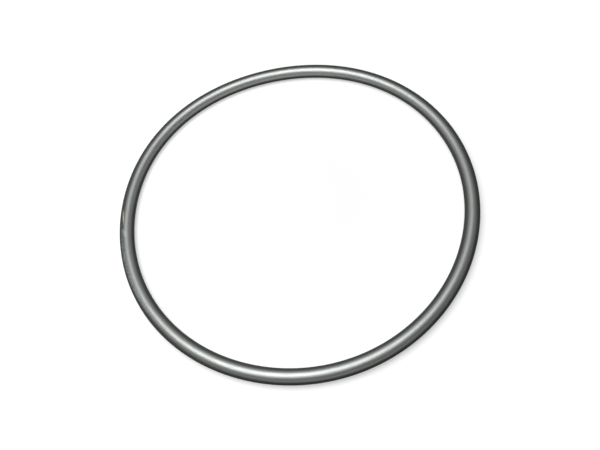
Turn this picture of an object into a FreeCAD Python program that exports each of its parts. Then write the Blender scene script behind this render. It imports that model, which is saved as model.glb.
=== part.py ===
import FreeCAD, Part
import math
import os
import Sketcher

# O-ring of standard dash size 352, moulded in one piece in black nitrile rubber
# A closed ring of round cord. Its mould has two halves that meet at the ring's mid-plane.
# The film of rubber squeezed out between them is trimmed flush round the outside. Round the
# hole, where trimming reaches less well, it is left as a fine witness line.
# Millimetres. The origin is the ring's centre, and +Z is the ring's axis.

# Driving dimensions: name, millimetres, meaning
SIZES = [
    ("inner_diameter", 123.19, "across the hole of the free ring, cord to cord"),
    ("cord_diameter", 5.33, "of the round cord, and so the height of the ring"),
    ("flash_height", 0.06, "of the witness line, from the cord into the hole"),
    ("flash_width", 0.12, "of the witness line, along the ring's axis"),
]

# Numbers by which a sketch knows its own axes, its root point and a shape's points
ROOT = (-1, 1)
HORIZONTAL_AXIS = -1
START, END, CENTRE = 1, 2, 3

FULL_TURN = 360
# How far from the origin the ring's centre of mass may come out, in millimetres
CENTRE_LIMIT = 1e-4


def make_sheet(doc):
    """Lay out the driving dimensions, one to a row, with each value's cell under its name."""
    sheet = doc.addObject("Spreadsheet::Sheet", "Sizes")
    for row, (alias, value, meaning) in enumerate(SIZES, start=1):
        sheet.set(f"A{row}", alias)
        sheet.set(f"B{row}", str(value))
        sheet.set(f"C{row}", meaning)
        sheet.setAlias(f"B{row}", alias)
    doc.recompute()
    return sheet


def origin_feature(body, role):
    """Return the plane or axis of the body's own origin that has this role."""
    return next(feature for feature in body.Origin.OriginFeatures if feature.Role == role)


def drive(sketch, name, expression, kind, *where):
    """Add a named dimension to a sketch and let the driving dimensions set it."""
    index = sketch.addConstraint(Sketcher.Constraint(kind, *where))
    sketch.renameConstraint(index, name)
    sketch.setExpression(f"Constraints.{name}", expression)


def draw_section(sketch, sheet):
    """Draw the cord's round section, broken only where the witness line stands into the hole."""
    radius = sheet.cord_diameter / 2
    centre_x = sheet.inner_diameter / 2 + radius
    tip_x = sheet.inner_diameter / 2 - sheet.flash_height
    half = sheet.flash_width / 2
    gap = math.asin(half / radius)
    foot_x = centre_x - radius * math.cos(gap)

    circle = Part.Circle(FreeCAD.Vector(centre_x, 0, 0), FreeCAD.Vector(0, 0, 1), radius)
    cord = sketch.addGeometry(Part.ArcOfCircle(circle, gap - math.pi, math.pi - gap))
    corners = [(foot_x, half), (tip_x, half), (tip_x, -half), (foot_x, -half)]
    points = [FreeCAD.Vector(x, z, 0) for x, z in corners]
    top, tip, bottom = [
        sketch.addGeometry(Part.LineSegment(*ends)) for ends in zip(points, points[1:])
    ]

    for line, following in ((cord, top), (top, tip), (tip, bottom), (bottom, cord)):
        sketch.addConstraint(Sketcher.Constraint("Coincident", line, END, following, START))
    for line in (top, bottom):
        sketch.addConstraint(Sketcher.Constraint("Horizontal", line))
    sketch.addConstraint(Sketcher.Constraint("Symmetric", tip, START, tip, END, HORIZONTAL_AXIS))
    sketch.addConstraint(Sketcher.Constraint("PointOnObject", cord, CENTRE, HORIZONTAL_AXIS))

    drive(
        sketch, "cord_diameter", "Sizes.cord_diameter",
        "Diameter", cord, sheet.cord_diameter,
    )
    drive(
        sketch, "cord_centre", "(Sizes.inner_diameter + Sizes.cord_diameter) / 2",
        "DistanceX", *ROOT, cord, CENTRE, centre_x,
    )
    drive(
        sketch, "flash_width", "Sizes.flash_width",
        "DistanceY", tip, END, tip, START, sheet.flash_width,
    )
    drive(
        sketch, "flash_tip", "Sizes.inner_diameter / 2 - Sizes.flash_height",
        "DistanceX", *ROOT, tip, START, tip_x,
    )


def make_ring(doc, sheet):
    """Build the ring as one body: its section, turned once round the ring's axis."""
    body = doc.addObject("PartDesign::Body", "o_ring")
    body.Label = "o_ring"
    body.Placement = FreeCAD.Placement()

    section = body.newObject("Sketcher::SketchObject", "Section")
    section.AttachmentSupport = [(origin_feature(body, "XZ_Plane"), "")]
    section.MapMode = "FlatFace"
    draw_section(section, sheet)

    ring = body.newObject("PartDesign::Revolution", "Ring")
    ring.Profile = section
    ring.ReferenceAxis = (origin_feature(body, "Z_Axis"), [""])
    ring.Angle = FULL_TURN
    return body


def check(doc, bodies):
    """Stop if a feature failed, or if a body isn't one sound solid that is centred on the origin."""
    for item in doc.Objects:
        if "Invalid" in item.State or "Error" in item.State:
            raise RuntimeError(f"{item.Name} failed: {item.State}")
    for body in bodies:
        shape = body.Shape
        if shape.isNull() or not shape.isValid() or len(shape.Solids) != 1:
            raise RuntimeError(f"{body.Label} isn't one valid solid")
        if shape.Solids[0].CenterOfMass.Length > CENTRE_LIMIT:
            raise RuntimeError(f"{body.Label} isn't centred on the origin")


def main():
    """Build the ring, check it and write it out."""
    doc = FreeCAD.newDocument("o_ring_352")
    bodies = [make_ring(doc, make_sheet(doc))]
    doc.recompute()
    check(doc, bodies)
    os.makedirs("parts", exist_ok=True)
    for body in bodies:
        body.Shape.exportStep(f"parts/{body.Label}.step")
        box = body.Shape.optimalBoundingBox(False)
        print(
            f"{body.Label}: {box.XLength:.3f} x {box.YLength:.3f} x {box.ZLength:.3f} mm, "
            f"{body.Shape.Volume:.2f} mm3, {len(body.Shape.Faces)} faces"
        )


main()
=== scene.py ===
"""Rubber o-ring of standard dash size 352, lying free on a pale floor.

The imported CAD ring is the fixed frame. Here one finer ring stands for it: the same round cord and
witness line, laid down slightly out of round as free rubber lies, and dressed in satin rubber.
Metres throughout. The origin is the ring's centre, and +Z is the ring's axis.
"""

import logging
import math
from dataclasses import dataclass
from enum import Enum
from typing import Any, Mapping

import bmesh
import bpy
from mathutils import Euler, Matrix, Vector


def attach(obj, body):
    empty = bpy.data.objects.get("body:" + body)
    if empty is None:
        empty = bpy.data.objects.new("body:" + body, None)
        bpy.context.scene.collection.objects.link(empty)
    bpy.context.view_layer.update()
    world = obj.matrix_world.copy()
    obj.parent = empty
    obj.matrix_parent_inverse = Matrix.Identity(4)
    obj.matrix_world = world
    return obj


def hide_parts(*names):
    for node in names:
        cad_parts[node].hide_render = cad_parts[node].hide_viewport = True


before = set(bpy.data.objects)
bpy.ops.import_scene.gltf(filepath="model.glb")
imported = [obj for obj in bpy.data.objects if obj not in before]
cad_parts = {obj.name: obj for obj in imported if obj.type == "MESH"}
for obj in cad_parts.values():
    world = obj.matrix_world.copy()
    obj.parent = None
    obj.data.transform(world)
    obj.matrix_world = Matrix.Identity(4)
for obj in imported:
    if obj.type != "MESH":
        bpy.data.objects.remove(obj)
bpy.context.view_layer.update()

LOG = logging.getLogger("o_ring")

MM = 0.001
FULL_TURN = 2 * math.pi
# The ring's own map of its skin, in turns round the ring and turns round the cord
SKIN_MAP = "along_and_round"

# Settings that several nodes share
SMOOTH = {"interpolation_type": "SMOOTHSTEP"}
OF_COLOURS = {"data_type": "RGBA"}

# The sockets by which a Mix node mixes colours, because their names come more than once
MIX_SHARE = 0
MIX_UNDER = 6
MIX_OVER = 7
MIX_RESULT = 2


# Colour and node helpers


def linear(hex_colour: str) -> tuple[float, float, float, float]:
    """Turn an sRGB hex colour into the linear colour that a shader takes.

    Args:
        hex_colour: six hex digits, such as "2b2a28".

    Returns:
        Linear red, green and blue, and an alpha of one.
    """
    channels = (int(hex_colour[i : i + 2], 16) / 255 for i in (0, 2, 4))
    # The curve of the sRGB standard, with its straight foot near black
    red, green, blue = (
        c / 12.92 if c <= 0.04045 else ((c + 0.055) / 1.055) ** 2.4 for c in channels
    )
    return red, green, blue, 1.0


def add_node(
    tree: bpy.types.NodeTree,
    kind: str,
    settings: Mapping[str, Any] | None = None,
    inputs: Mapping[Any, Any] | None = None,
) -> bpy.types.Node:
    """Add a shader node with its settings, values and links.

    Args:
        tree: the node tree that gets the node.
        kind: the node's type name, without the leading "ShaderNode".
        settings: attributes of the node itself.
        inputs: for each socket, by name or number, a plain value or the output that feeds it.

    Returns:
        The new node.
    """
    node = tree.nodes.new(f"ShaderNode{kind}")
    for name, value in (settings or {}).items():
        setattr(node, name, value)
    for socket, value in (inputs or {}).items():
        if isinstance(value, bpy.types.NodeSocket):
            tree.links.new(value, node.inputs[socket])
        else:
            node.inputs[socket].default_value = value
    return node


def limits(start: float, end: float, first: Any, last: Any) -> dict[str, Any]:
    """Name the two spans of a Map Range node.

    Args:
        start: the value that gives the first result.
        end: the value that gives the last result.
        first: the result at the start and before it.
        last: the result at the end and beyond it.

    Returns:
        The node's inputs, apart from its value.
    """
    return {"From Min": start, "From Max": end, "To Min": first, "To Max": last}


def empty_material(name: str) -> tuple[bpy.types.Material, bpy.types.NodeTree]:
    """Make a material with an empty node tree.

    Args:
        name: the material's name.

    Returns:
        The material and its node tree.
    """
    material = bpy.data.materials.new(name)
    material.use_nodes = True
    material.node_tree.nodes.clear()
    return material, material.node_tree


def seen_rays(tree: bpy.types.NodeTree) -> bpy.types.NodeSocket:
    """Tell the rays that see, those of the camera, gloss and glass, from those that only light.

    Args:
        tree: the node tree that gets the nodes.

    Returns:
        An output that is one for the rays that see, and nought for the others.
    """
    rays = add_node(tree, "LightPath").outputs
    seen = rays["Is Camera Ray"]
    for kind in ("Is Glossy Ray", "Is Transmission Ray"):
        either = add_node(tree, "Math", {"operation": "MAXIMUM"}, {0: seen, 1: rays[kind]})
        seen = either.outputs[0]
    return seen


def mesh_object(name: str, shape: bmesh.types.BMesh) -> bpy.types.Object:
    """Turn a bmesh into an object at the origin, linked to the scene.

    Args:
        name: the object's name, and its mesh's.
        shape: the bmesh, which is freed.

    Returns:
        The new object.
    """
    mesh = bpy.data.meshes.new(name)
    shape.to_mesh(mesh)
    shape.free()
    made = bpy.data.objects.new(name, mesh)
    bpy.context.scene.collection.objects.link(made)
    return made


# Finishes


@dataclass(frozen=True)
class Mark:
    """A mark on the rubber's skin: a scuff from handling, a painted sheen, a painted highlight.

    Attributes:
        name: what the mark is.
        along: where its middle is, in degrees round the ring from +X.
        around: where its middle is, in degrees round the cord from its outer side up.
        length: from end to end, in metres.
        width: across it, in metres.
        slant: how far it turns from the cord's run toward the hole, in degrees.
        colour: its colour on the skin.
        cover: how much of the rubber it hides at its middle, from 0 to 1.
    """

    name: str
    along: float
    around: float
    length: float
    width: float
    slant: float
    colour: str
    cover: float


@dataclass(frozen=True)
class NitrileRubber:
    """Black nitrile rubber (NBR), compression moulded and tumbled clean.

    Carbon black makes it near black. The steel mould's fine finish gives it a satin skin that
    draws one broad soft highlight along the cord.

    Rubber's own index is near 1.5. The photograph is exposed for a black part, which lifts that
    thin shine to near white. This scene's light is plain, so the index and the specular level are
    raised until the highlight comes out as bright as it does there.

    Attributes:
        cord_radius: the radius of the cord's section, in metres as all sizes here.
        centre_radius: the radius of the circle that the cord's centre runs on.
        colour: the rubber itself.
        bloom: where a trace of wax has come out of the rubber.
        tint: the highlight's colour.
        ior: the raised index.
        gloss: the specular level where the skin faces the eye.
        gloss_rim: the specular level at the cord's rims.
        roughness: the middle of the satin skin's roughness.
        roughness_swing: how far the streaks move the roughness either way.
        rim_start: how far the skin turns from the eye before the rims' look sets in, from 0 to 1.
        rim_end: how far it turns before the rims' look is whole.
        rim_roughness: what the rims add to the roughness.
        bloom_size: from one patch of bloom to the next.
        bloom_detail: the finer layers in a patch of bloom.
        streak_span: the values of the streaks' pattern from no streak to a whole one.
        streak_width: across a streak.
        streak_stretch: how many times as long as wide a streak is.
        streak_detail: the finer layers in a streak.
        streak_gloss: the share of the gloss that a streak takes away.
        pit_size: from one pit to the next, drawn coarser than the real finish.
        pit_depth: from a pit's bottom to its edge.
        pit_detail: the finer layers in a pit.
        trim_width: across the band where the flash was cut away.
        trim_colour: the cut rubber.
        trim_roughness: what the cut adds to the roughness.
        marks: the marks on the skin: a scuff, a painted sheen and a painted highlight.
        mark_heart: the share of a mark's reach within which it is whole.
        mark_gaps: the values of the pits' pattern from the thinnest cover to the whole.
        mark_thinnest: the share of its cover that a mark keeps where it is thinnest.
        mark_detail: the finer layers in a mark.
    """

    cord_radius: float
    centre_radius: float
    colour: str = "3b3d3c"
    bloom: str = "444644"
    tint: str = "fbfffc"
    ior: float = 2.25
    gloss: float = 1.0
    gloss_rim: float = 0.04
    roughness: float = 0.47
    roughness_swing: float = 0.02
    rim_start: float = 0.06
    rim_end: float = 0.38
    rim_roughness: float = 0.4
    bloom_size: float = 6 * MM
    bloom_detail: float = 3.0
    streak_span: tuple[float, float] = (0.3, 0.7)
    streak_width: float = 0.5 * MM
    streak_stretch: float = 7.0
    streak_detail: float = 2.0
    streak_gloss: float = 0.06
    pit_size: float = 0.7 * MM
    pit_depth: float = 0.016 * MM
    pit_detail: float = 2.0
    trim_width: float = 0.22 * MM
    trim_colour: str = "4b4c4a"
    trim_roughness: float = 0.15
    marks: tuple[Mark, ...] = ()
    mark_heart: float = 0.3
    mark_gaps: tuple[float, float] = (0.35, 0.6)
    mark_thinnest: float = 0.35
    mark_detail: float = 3.0

    def material(self) -> bpy.types.Material:
        """Build the rubber's material.

        Returns:
            The material.
        """
        material, tree = empty_material("nitrile_rubber_compression_moulded")
        place = add_node(tree, "TexCoord").outputs["Object"]
        turns = add_node(tree, "UVMap", {"uv_map": SKIN_MAP}).outputs["UV"]
        # A blend of one half leaves the skin's turn from the eye as it is
        facing = add_node(tree, "LayerWeight", {}, {"Blend": 0.5}).outputs["Facing"]
        streaks = self.streaks(tree, place, turns)
        trim = self.trim(tree, place)

        shader = add_node(
            tree, "BsdfPrincipled", {},
            {
                "Base Color": self.colouring(tree, place, turns, trim),
                "Roughness": self.unevenness(tree, facing, streaks, trim),
                "IOR": self.ior,
                "Specular IOR Level": self.shine(tree, facing, streaks),
                "Specular Tint": linear(self.tint),
                "Normal": self.pits(tree, place),
            },
        )
        add_node(tree, "OutputMaterial", {}, {"Surface": shader.outputs["BSDF"]})
        return material

    def colouring(
        self,
        tree: bpy.types.NodeTree,
        place: bpy.types.NodeSocket,
        turns: bpy.types.NodeSocket,
        trim: bpy.types.NodeSocket,
    ) -> bpy.types.NodeSocket:
        """Colour the skin: black, faintly greyer where wax has bloomed or a blade has cut.

        Args:
            tree: the node tree that gets the nodes.
            place: the place in the ring.
            turns: the turns round the ring and round the cord.
            trim: the trimmed band's share.

        Returns:
            The colour, with the scuff, the painted sheen and the painted highlight on it.
        """
        bloom = add_node(
            tree, "TexNoise", {},
            {"Vector": place, "Scale": 1 / self.bloom_size, "Detail": self.bloom_detail},
        )
        layers = [(bloom.outputs["Fac"], self.bloom), (trim, self.trim_colour)]
        # The marks: a scuff, a pale band of painted sheen and a pale smear of painted highlight
        layers += [(self.cover(tree, place, turns, mark), mark.colour) for mark in self.marks]
        colour = linear(self.colour)
        for share, upper in layers:
            inputs = {MIX_SHARE: share, MIX_UNDER: colour, MIX_OVER: linear(upper)}
            colour = add_node(tree, "Mix", OF_COLOURS, inputs).outputs[MIX_RESULT]
        return colour

    def unevenness(
        self,
        tree: bpy.types.NodeTree,
        facing: bpy.types.NodeSocket,
        streaks: bpy.types.NodeSocket,
        trim: bpy.types.NodeSocket,
    ) -> bpy.types.NodeSocket:
        """Set the roughness: a little uneven by the streaks, duller at the rims and where cut.

        Args:
            tree: the node tree that gets the nodes.
            facing: nought where the skin faces the eye, and one at the rims.
            streaks: the streaks' pattern.
            trim: the trimmed band's share.

        Returns:
            The roughness.
        """
        low = self.roughness - self.roughness_swing
        high = self.roughness + self.roughness_swing
        satin = add_node(
            tree, "MapRange", SMOOTH, {"Value": streaks, **limits(*self.streak_span, low, high)}
        )
        cut = add_node(
            tree, "Math", {"operation": "MULTIPLY_ADD"},
            {0: trim, 1: self.trim_roughness, 2: satin.outputs["Result"]},
        )
        rims = limits(self.rim_start, self.rim_end, 0.0, self.rim_roughness)
        rim = add_node(tree, "MapRange", SMOOTH, {"Value": facing, **rims})
        return add_node(
            tree, "Math", {"operation": "ADD"}, {0: cut.outputs[0], 1: rim.outputs["Result"]}
        ).outputs[0]

    def shine(
        self, tree: bpy.types.NodeTree, facing: bpy.types.NodeSocket, streaks: bpy.types.NodeSocket
    ) -> bpy.types.NodeSocket:
        """Set the specular level, a little uneven by the streaks.

        The skin's fine pits shade one another at a grazing angle, so the gloss dies away toward
        the cord's rims instead of growing there.

        Args:
            tree: the node tree that gets the nodes.
            facing: nought where the skin faces the eye, and one at the rims.
            streaks: the streaks' pattern.

        Returns:
            The specular level.
        """
        rims = limits(self.rim_start, self.rim_end, self.gloss, self.gloss_rim)
        whole = add_node(tree, "MapRange", SMOOTH, {"Value": facing, **rims})
        dips = limits(*self.streak_span, 1.0, 1.0 - self.streak_gloss)
        broken = add_node(tree, "MapRange", SMOOTH, {"Value": streaks, **dips})
        return add_node(
            tree, "Math", {"operation": "MULTIPLY"},
            {0: whole.outputs["Result"], 1: broken.outputs["Result"]},
        ).outputs[0]

    def streaks(
        self, tree: bpy.types.NodeTree, place: bpy.types.NodeSocket, turns: bpy.types.NodeSocket
    ) -> bpy.types.NodeSocket:
        """Draw the fine streaks that run along the cord, where rubber flowed round the mould.

        The pattern lies in four dimensions, two across the cord's section and two round the ring,
        so that it meets itself without a seam.

        Args:
            tree: the node tree that gets the nodes.
            place: the place in the ring.
            turns: the turns round the ring and round the cord.

        Returns:
            The streaks' pattern.
        """
        around = add_node(tree, "SeparateXYZ", {}, {"Vector": turns}).outputs["Y"]
        angle = add_node(tree, "Math", {"operation": "MULTIPLY"}, {0: around, 1: FULL_TURN})
        across = add_node(tree, "Math", {"operation": "COSINE"}, {0: angle.outputs[0]})
        upward = add_node(tree, "Math", {"operation": "SINE"}, {0: angle.outputs[0]})
        run = 1 / (self.cord_radius * self.streak_stretch)
        along = add_node(
            tree, "VectorMath", {"operation": "SCALE"}, {"Vector": place, "Scale": run}
        )
        flat = add_node(tree, "SeparateXYZ", {}, {"Vector": along.outputs[0]}).outputs
        pattern_place = add_node(
            tree, "CombineXYZ", {},
            {"X": across.outputs[0], "Y": upward.outputs[0], "Z": flat["X"]},
        )
        return add_node(
            tree, "TexNoise", {"noise_dimensions": "4D"},
            {
                "Vector": pattern_place.outputs[0],
                "W": flat["Y"],
                "Scale": self.cord_radius / self.streak_width,
                "Detail": self.streak_detail,
            },
        ).outputs["Fac"]

    def trim(self, tree: bpy.types.NodeTree, place: bpy.types.NodeSocket) -> bpy.types.NodeSocket:
        """Pick out the band at the parting plane where the flash was cut away, inside and outside.

        Args:
            tree: the node tree that gets the nodes.
            place: the place in the ring.

        Returns:
            The band's share: one along its middle, and nought beyond its edges.
        """
        height = add_node(tree, "SeparateXYZ", {}, {"Vector": place}).outputs["Z"]
        away = add_node(tree, "Math", {"operation": "ABSOLUTE"}, {0: height})
        band = limits(self.trim_width / 4, self.trim_width / 2, 1.0, 0.0)
        inputs = {"Value": away.outputs[0], **band}
        return add_node(tree, "MapRange", SMOOTH, inputs).outputs["Result"]

    def cover(
        self,
        tree: bpy.types.NodeTree,
        place: bpy.types.NodeSocket,
        turns: bpy.types.NodeSocket,
        mark: Mark,
    ) -> bpy.types.NodeSocket:
        """Tell how much a mark hides of the rubber, fading to its ends and broken up by the pits.

        Args:
            tree: the node tree that gets the nodes.
            place: the place in the ring.
            turns: the turns round the ring and round the cord.
            mark: the mark.

        Returns:
            The share that the mark hides.
        """
        size = (FULL_TURN * self.centre_radius, FULL_TURN * self.cord_radius, 0.0)
        skin = add_node(tree, "VectorMath", {"operation": "MULTIPLY"}, {0: turns, 1: size})
        own = add_node(
            tree, "Mapping", {"vector_type": "TEXTURE", "label": mark.name},
            {
                "Vector": skin.outputs[0],
                "Location": (mark.along / 360 * size[0], mark.around / 360 * size[1], 0.0),
                "Rotation": (0.0, 0.0, math.radians(mark.slant)),
                "Scale": (mark.length / 2, mark.width / 2, 1.0),
            },
        )
        out = add_node(tree, "VectorMath", {"operation": "LENGTH"}, {0: own.outputs[0]})
        fade = limits(self.mark_heart, 1.0, mark.cover, 0.0)
        whole = add_node(tree, "MapRange", SMOOTH, {"Value": out.outputs["Value"], **fade})
        grain = add_node(
            tree, "TexNoise", {},
            {"Vector": place, "Scale": 1 / self.pit_size, "Detail": self.mark_detail},
        )
        gaps = limits(*self.mark_gaps, self.mark_thinnest, 1.0)
        patchy = add_node(tree, "MapRange", SMOOTH, {"Value": grain.outputs["Fac"], **gaps})
        return add_node(
            tree, "Math", {"operation": "MULTIPLY"},
            {0: whole.outputs["Result"], 1: patchy.outputs["Result"]},
        ).outputs[0]

    def pits(self, tree: bpy.types.NodeTree, place: bpy.types.NodeSocket) -> bpy.types.NodeSocket:
        """Raise and sink the skin finely, as the mould's finish does.

        The real finish is a few hundredths of a millimetre from pit to pit, too fine to show. It
        is drawn as coarse as it needs to be for a slight grain in the highlight.

        Args:
            tree: the node tree that gets the nodes.
            place: the place in the ring.

        Returns:
            The skin's normal.
        """
        pits = add_node(
            tree, "TexNoise", {},
            {"Vector": place, "Scale": 1 / self.pit_size, "Detail": self.pit_detail},
        )
        bump = add_node(
            tree, "Bump", {}, {"Distance": self.pit_depth, "Height": pits.outputs["Fac"]}
        )
        return bump.outputs["Normal"]


@dataclass(frozen=True)
class StudioPaper:
    """White background paper, matt, that the ring lies on.

    The lamp hangs near, so its light falls off over the paper. To rays that see, a glow that grows
    with distance makes up for it: the paper stays white to the horizon, and lights nothing.

    Attributes:
        colour: the paper itself.
        glow_near: the glow's strength round the ring's centre.
        glow_far: the glow's strength far out.
        near: how far from the centre the glow begins to grow, in metres.
        far: how far from the centre it has grown whole, in metres.
    """

    colour: str = "bcbdbc"
    glow_near: float = 0.41
    glow_far: float = 1.0
    near: float = 0.02
    far: float = 0.34

    def material(self) -> bpy.types.Material:
        """Build the paper's material.

        Returns:
            The material.
        """
        material, tree = empty_material("studio_paper_matt")
        place = add_node(tree, "TexCoord").outputs["Object"]
        distance = add_node(tree, "VectorMath", {"operation": "LENGTH"}, {0: place})
        growth = limits(self.near, self.far, self.glow_near, self.glow_far)
        rise = add_node(tree, "MapRange", {}, {"Value": distance.outputs["Value"], **growth})
        strength = add_node(
            tree, "Math", {"operation": "MULTIPLY"},
            {0: seen_rays(tree), 1: rise.outputs["Result"]},
        )
        matt = add_node(tree, "BsdfDiffuse", {}, {"Color": linear(self.colour)})
        glow = add_node(tree, "Emission", {}, {"Strength": strength.outputs[0]})
        both = add_node(tree, "AddShader", {}, {0: matt.outputs[0], 1: glow.outputs[0]})
        add_node(tree, "OutputMaterial", {}, {"Surface": both.outputs[0]})
        return material


# The ring


class FlashTrim(Enum):
    """What trimming leaves of the film of rubber at the mould's parting plane."""

    FLUSH = "flush"
    WITNESS_LINE = "witness line"


@dataclass(frozen=True)
class Wave:
    """One wave of the free ring's outline, as the rubber happens to lie.

    Attributes:
        count: how many times it goes in and out round the ring.
        height: how far it goes out, in metres.
        crest: where its first crest is, in degrees counter-clockwise from +X.
    """

    count: int
    height: float
    crest: float

    def at(self, angle: float) -> float:
        """Return how far the wave moves the cord outwards at an angle in radians."""
        return self.height * math.cos(self.count * (angle - math.radians(self.crest)))


@dataclass
class MouldedRing:
    """The o-ring: a closed ring of round cord with the mould's witness line round its hole.

    Attributes:
        inner_diameter: across the hole, in metres as all lengths here.
        cord_diameter: across the cord.
        flash_height: how far the witness line stands into the hole.
        flash_width: how wide the witness line is, along the ring's axis.
        hole_trim: what trimming has left in the hole.
        sides: the faces round the cord.
        steps: the faces round the ring.
        snap: how near to a cut a corner is taken to lie on it.
        sharp_angle: the turn between two faces from which their edge is sharp, in degrees.
        lay: the waves in which the ring lies.
        marks: the marks on the skin: a scuff, a painted sheen and a painted highlight.
    """

    inner_diameter: float = 123.19 * MM
    cord_diameter: float = 5.33 * MM
    flash_height: float = 0.06 * MM
    flash_width: float = 0.12 * MM
    hole_trim: FlashTrim = FlashTrim.WITNESS_LINE
    sides: int = 64
    steps: int = 720
    snap: float = 0.0006 * MM
    sharp_angle: float = 40.0
    lay: tuple[Wave, ...] = (
        Wave(3, 0.394 * MM, 23.8),
        Wave(4, 0.198 * MM, 36.2),
        Wave(5, 0.068 * MM, -14.0),
    )
    marks: tuple[Mark, ...] = (
        # A pale band along the cord's upper outer side on the left: a painted sheen, where that
        # side catches more light
        Mark("painted sheen band", 193.0, 66.0, 54.0 * MM, 2.0 * MM, 0.0, "8f9490", 0.5),
        Mark("dry scuff", 170.8, 75.5, 8.4 * MM, 0.6 * MM, 6.0, "cbcba6", 0.75),
        # A pale smear beside the scuff: its pale colour is a painted highlight, where a small flat
        # spot catches the light
        Mark("painted highlight smear", 176.9, 88.0, 4.8 * MM, 2.0 * MM, 20.0, "b4cac6", 0.35),
    )

    @property
    def cord_radius(self) -> float:
        """Return the radius of the cord's section."""
        return self.cord_diameter / 2

    @property
    def centre_radius(self) -> float:
        """Return the radius of the circle that the cord's centre runs on."""
        return (self.inner_diameter + self.cord_diameter) / 2

    @property
    def finish(self) -> NitrileRubber:
        """Return the rubber that the ring is moulded in, with the ring's own marks."""
        return NitrileRubber(self.cord_radius, self.centre_radius, marks=self.marks)

    def turn_section(self) -> bmesh.types.BMesh:
        """Stand the cord's round section up beside the axis and turn it once round.

        Returns:
            The round ring, without its witness line.
        """
        shape = bmesh.new()
        bmesh.ops.create_circle(shape, segments=self.sides, radius=self.cord_radius)
        upright = Euler((math.pi / 2, 0, 0)).to_matrix()
        bmesh.ops.rotate(shape, verts=shape.verts, cent=(0, 0, 0), matrix=upright)
        bmesh.ops.translate(shape, verts=shape.verts, vec=(self.centre_radius, 0, 0))
        bmesh.ops.spin(
            shape,
            geom=shape.verts[:] + shape.edges[:],
            cent=(0, 0, 0),
            axis=(0, 0, 1),
            angle=FULL_TURN,
            steps=self.steps,
            use_merge=True,
        )
        return shape

    def raise_flash(self, shape: bmesh.types.BMesh) -> None:
        """Cut the parting band out of the hole's side and raise it to the witness line's tip.

        Args:
            shape: the turned cord, changed in place.
        """
        half = self.flash_width / 2
        hole_side = self.centre_radius - self.cord_radius / 2
        for height in (half, -half):
            faces = [f for f in shape.faces if self.radius(f.calc_center_median()) < hole_side]
            edges = {e for f in faces for e in f.edges}
            verts = {v for f in faces for v in f.verts}
            bmesh.ops.bisect_plane(
                shape,
                geom=[*verts, *edges, *faces],
                dist=self.snap,
                plane_co=(0, 0, height),
                plane_no=(0, 0, 1),
            )
        band = [
            f
            for f in shape.faces
            if abs(f.calc_center_median().z) < half
            and self.radius(f.calc_center_median()) < hole_side
        ]
        raised = bmesh.ops.extrude_face_region(shape, geom=band)["geom"]
        bmesh.ops.delete(shape, geom=band, context="FACES")
        tip = self.centre_radius - self.cord_radius - self.flash_height
        for vert in (item for item in raised if isinstance(item, bmesh.types.BMVert)):
            vert.co.xy *= tip / self.radius(vert.co)

    @staticmethod
    def radius(place: Vector) -> float:
        """Return a place's distance from the ring's axis."""
        return place.xy.length

    def unwrap(self, shape: bmesh.types.BMesh) -> None:
        """Give the ring its own map: turns round the ring, and turns round the cord.

        Args:
            shape: the ring before it is laid down, changed in place.
        """
        layer = shape.loops.layers.uv.new(SKIN_MAP)
        for face in shape.faces:
            middle = self.turns(face.calc_center_median())
            for loop in face.loops:
                turns = self.turns(loop.vert.co)
                loop[layer].uv = [t - round(t - m) for t, m in zip(turns, middle)]

    def turns(self, place: Vector) -> tuple[float, float]:
        """Tell where on the skin a place is.

        Args:
            place: a place on the ring before it is laid down.

        Returns:
            Its turns round the ring from +X, and its turns round the cord from the outer side up.
        """
        along = math.atan2(place.y, place.x) / FULL_TURN
        around = math.atan2(place.z, self.radius(place) - self.centre_radius) / FULL_TURN
        return along % 1, around % 1

    def order(self, shape: bmesh.types.BMesh) -> None:
        """Put the corners and faces in order round the ring, and within that round the cord.

        The operators leave them in an order of their own, which differs from run to run.

        Args:
            shape: the ring before it is laid down, changed in place.
        """
        shape.verts.sort(key=lambda vert: self.rank(vert.co))
        shape.faces.sort(key=lambda face: self.rank(face.calc_center_median()))

    def rank(self, place: Vector) -> float:
        """Tell a place's rank in an order round the ring, and within that round the cord.

        Args:
            place: a place on the ring before it is laid down.

        Returns:
            A number that one step round the ring raises more than a whole turn round the cord.
        """
        along, around = self.turns(place)
        return 2 * self.steps * along + around

    def lay_down(self, shape: bmesh.types.BMesh) -> None:
        """Let the cord wander in and out a little, as a free ring of rubber lies.

        Args:
            shape: the round ring, changed in place.
        """
        for vert in shape.verts:
            angle = math.atan2(vert.co.y, vert.co.x)
            radius = self.radius(vert.co)
            vert.co.xy *= 1 + sum(wave.at(angle) for wave in self.lay) / radius

    def build(self) -> bpy.types.Object:
        """Build the ring, dress it and let it stand for the CAD node.

        Returns:
            The finished ring.
        """
        shape = self.turn_section()
        if self.hole_trim is FlashTrim.WITNESS_LINE:
            self.raise_flash(shape)
        self.order(shape)
        self.unwrap(shape)
        self.lay_down(shape)
        bmesh.ops.recalc_face_normals(shape, faces=shape.faces)
        for face in shape.faces:
            face.smooth = True
        for edge in shape.edges:
            edge.smooth = edge.calc_face_angle(0) < math.radians(self.sharp_angle)
        ring = mesh_object("o_ring_moulded", shape)
        ring.data.materials.append(self.finish.material())
        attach(ring, "root")
        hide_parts("o_ring")
        return ring


# The studio and the camera


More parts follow.
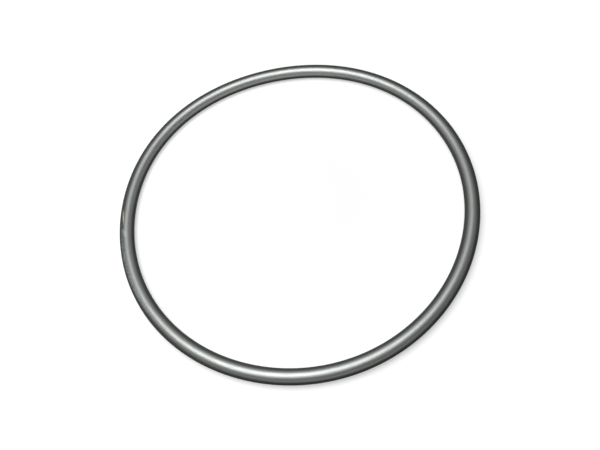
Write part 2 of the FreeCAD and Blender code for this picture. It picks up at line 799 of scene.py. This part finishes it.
@dataclass
class Studio:
    """A pale floor under the ring, one large soft lamp above it and a dim even room.

    Attributes:
        floor_height: the floor's height, in metres as all lengths here.
        floor_size: each side of the floor.
        lamp_place: the middle of the lamp, which faces the ring's centre.
        lamp_diameter: across the lamp's disk.
        lamp_level: its light on the floor below the ring, where one shows white paper as white.
        room_level: the strength of the even light, and of the dark ceiling.
        backdrop_level: the strength of the white backdrop on the horizon.
        backdrop_fade: how steeply up one looks where the backdrop ends and where the ceiling
            begins, as sines.
        paper: the floor's finish.
    """

    floor_height: float
    floor_size: float = 4.0
    lamp_place: tuple[float, float, float] = (-0.05, 0.0, 0.3)
    lamp_diameter: float = 0.28
    lamp_level: float = 1.18
    room_level: float = 0.02
    backdrop_level: float = 1.0
    backdrop_fade: tuple[float, float] = (0.0, 0.3)
    paper: StudioPaper = StudioPaper()

    def build_floor(self) -> bpy.types.Object:
        """Lay the floor just under the ring.

        Returns:
            The floor.
        """
        shape = bmesh.new()
        bmesh.ops.create_grid(shape, x_segments=1, y_segments=1, size=self.floor_size / 2)
        bmesh.ops.translate(shape, verts=shape.verts, vec=(0, 0, self.floor_height))
        floor = mesh_object("floor", shape)
        floor.data.materials.append(self.paper.material())
        return floor

    def hang_lamp(self) -> bpy.types.Object:
        """Hang the lamp, with the power that brings its light on the floor to its level.

        Returns:
            The lamp.
        """
        lamp = bpy.data.lights.new("overhead_softbox", "AREA")
        lamp.shape = "DISK"
        lamp.size = self.lamp_diameter
        place = Vector(self.lamp_place)
        height = place.z - self.floor_height
        spread = (self.lamp_diameter / 2) ** 2 + place.length_squared
        lamp.energy = self.lamp_level * math.pi * math.pi * spread * place.length / height
        made = bpy.data.objects.new("overhead_softbox", lamp)
        made.location = place
        made.rotation_euler = place.to_track_quat("Z", "Y").to_euler()
        bpy.context.scene.collection.objects.link(made)
        return made

    def fill_room(self) -> bpy.types.World:
        """Surround the scene with a dim even light.

        To rays that see, a white backdrop stands on the horizon and gives way to a dark ceiling.

        Returns:
            The world.
        """
        world = bpy.data.worlds.new("studio_room")
        world.use_nodes = True
        tree = world.node_tree
        tree.nodes.clear()
        direction = add_node(tree, "TexCoord").outputs["Generated"]
        up = add_node(tree, "SeparateXYZ", {}, {"Vector": direction}).outputs["Z"]
        heights = limits(*self.backdrop_fade, self.backdrop_level, self.room_level)
        backdrop = add_node(tree, "MapRange", SMOOTH, {"Value": up, **heights})
        levels = limits(0.0, 1.0, self.room_level, backdrop.outputs["Result"])
        strength = add_node(tree, "MapRange", {}, {"Value": seen_rays(tree), **levels})
        room = add_node(
            tree, "Background", {},
            {"Color": (1.0, 1.0, 1.0, 1.0), "Strength": strength.outputs["Result"]},
        )
        add_node(tree, "OutputWorld", {}, {"Surface": room.outputs[0]})
        bpy.context.scene.world = world
        return world


@dataclass
class Camera:
    """The camera of the photograph: a compact one, close above the ring's near side.

    Its place, angles and lens were fitted to the ring's outer and inner outlines.

    Attributes:
        place: where it stands, in metres.
        angles: how it is turned about X, Y and Z, in degrees.
        lens: its focal length, in millimetres.
        sensor: the width of its sensor, in millimetres.
        clip_start: how near it begins to see, in metres.
    """

    place: tuple[float, float, float] = (0.0, -0.1072, 0.1765)
    angles: tuple[float, float, float] = (28.01, 6.86, -12.59)
    lens: float = 33.31
    sensor: float = 36.0
    clip_start: float = 1 * MM

    def build(self) -> bpy.types.Object:
        """Put the camera up and make it the scene's own.

        Returns:
            The camera.
        """
        lens = bpy.data.cameras.new("camera")
        lens.lens = self.lens
        lens.sensor_width = self.sensor
        lens.clip_start = self.clip_start
        made = bpy.data.objects.new("camera", lens)
        made.location = self.place
        made.rotation_euler = [math.radians(a) for a in self.angles]
        bpy.context.scene.collection.objects.link(made)
        bpy.context.scene.camera = made
        return made


def main() -> None:
    """Build the camera, the ring and the studio, and report each."""
    logging.basicConfig(level=logging.INFO, format="%(name)s: %(message)s")
    bpy.context.scene.view_settings.view_transform = "Standard"

    camera = Camera().build()
    LOG.info("%s with a %.1f mm lens", camera.name, camera.data.lens)

    design = MouldedRing()
    ring = design.build()
    LOG.info("%s: %d faces", ring.name, len(ring.data.polygons))

    studio = Studio(floor_height=-design.cord_radius)
    for piece in (studio.build_floor(), studio.hang_lamp(), studio.fill_room()):
        LOG.info("%s", piece.name)


if __name__ == "__main__":
    main()
